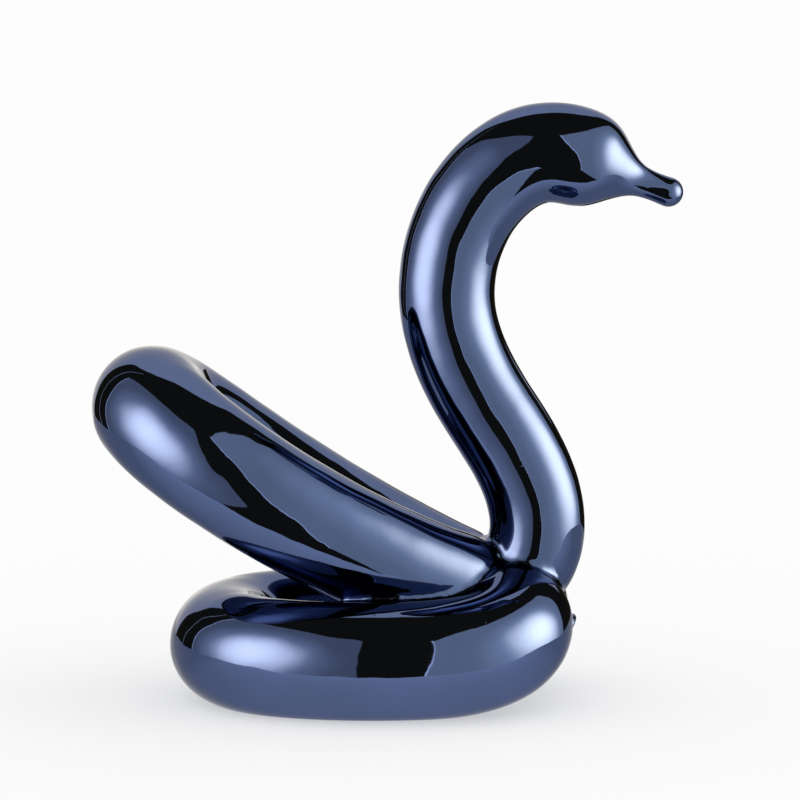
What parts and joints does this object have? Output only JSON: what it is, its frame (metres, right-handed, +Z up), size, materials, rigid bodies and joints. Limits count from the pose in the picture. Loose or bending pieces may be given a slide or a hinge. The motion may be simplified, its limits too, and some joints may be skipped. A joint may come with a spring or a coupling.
{
  "type": "balloon swan ornament",
  "caption": "Tabletop swan ornament in the form of a twisted modelling balloon, with a ring body, a looped tail and a curved neck, in mirror-bright dark blue.",
  "frame": {"origin": "on the surface it stands on, at the centre of the bounding box seen from above", "axes": "+X is the way the swan faces, from tail to beak; +Y is its left side; +Z is up"},
  "size_m": [0.247, 0.1498, 0.2499],
  "materials": {
    "lustre_glaze": "mirror-bright dark blue metallic lustre, very smooth"
  },
  "bodies": {
    "root": {"balloon_swan": "lustre_glaze"}
  },
  "joints": []
}
